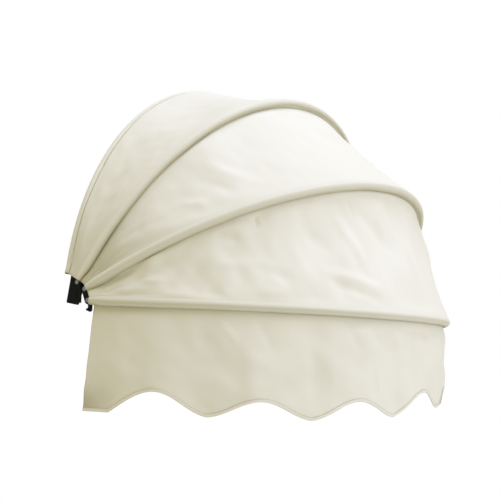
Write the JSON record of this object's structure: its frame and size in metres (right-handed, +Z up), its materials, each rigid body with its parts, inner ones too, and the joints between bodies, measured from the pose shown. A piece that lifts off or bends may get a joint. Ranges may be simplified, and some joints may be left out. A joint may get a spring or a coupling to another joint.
{
  "type": "window awning",
  "caption": "Half-dome window awning: hinged bows under a sewn fabric cover with a scalloped valance and a wall bracket at each end; it folds up flat against the wall.",
  "frame": {"origin": "on the wall plane, midway between the two wall brackets, level with their lower ends", "axes": "+X along the wall, +Y into the wall, +Z up"},
  "size_m": [1.1968, 0.6404, 0.8486],
  "materials": {
    "cover_cloth": "matt woven awning cloth",
    "bracket_moulding": "satin black moulding",
    "bow_tube": "plain drawn tube",
    "rivet_steel": "satin"
  },
  "bodies": {
    "wall_frame": {"wall_bracket_left": "bracket_moulding", "wall_bracket_right": "bracket_moulding", "wall_bow": "bow_tube", "wall_sleeve": "cover_cloth", "upper_rivet_left": "rivet_steel", "upper_rivet_right": "rivet_steel", "rear_panel": "cover_cloth"},
    "upper_hoop": {"upper_bow": "bow_tube", "upper_sleeve": "cover_cloth", "upper_link_left": "bracket_moulding", "upper_link_right": "bracket_moulding", "lower_rivet_left": "rivet_steel", "lower_rivet_right": "rivet_steel", "middle_panel": "cover_cloth"},
    "lower_hoop": {"lower_bow": "bow_tube", "lower_sleeve": "cover_cloth", "lower_link_left": "bracket_moulding", "lower_link_right": "bracket_moulding", "front_rivet_left": "rivet_steel", "front_rivet_right": "rivet_steel", "front_panel": "cover_cloth"},
    "front_hoop": {"front_bow": "bow_tube", "front_sleeve": "cover_cloth", "front_link_left": "bracket_moulding", "front_link_right": "bracket_moulding", "valance": "cover_cloth", "valance_binding": "cover_cloth"}
  },
  "joints": [
    {"name": "upper_fold", "type": "hinge", "parent": "wall_frame", "child": "upper_hoop", "pos_m": [0, -0.0415, 0.052], "axis": [-1, 0, 0], "range_deg": [0, 26], "deforming": ["rear_panel"]},
    {"name": "lower_fold", "type": "hinge", "parent": "upper_hoop", "child": "lower_hoop", "pos_m": [0, -0.06446, 0.03635], "axis": [-1, 0, 0], "range_deg": [0, 32.5], "deforming": ["middle_panel"]},
    {"name": "front_fold", "type": "hinge", "parent": "lower_hoop", "child": "front_hoop", "pos_m": [0, -0.07542, 0.01081], "axis": [-1, 0, 0], "range_deg": [0, 31.5], "deforming": ["front_panel"]}
  ]
}
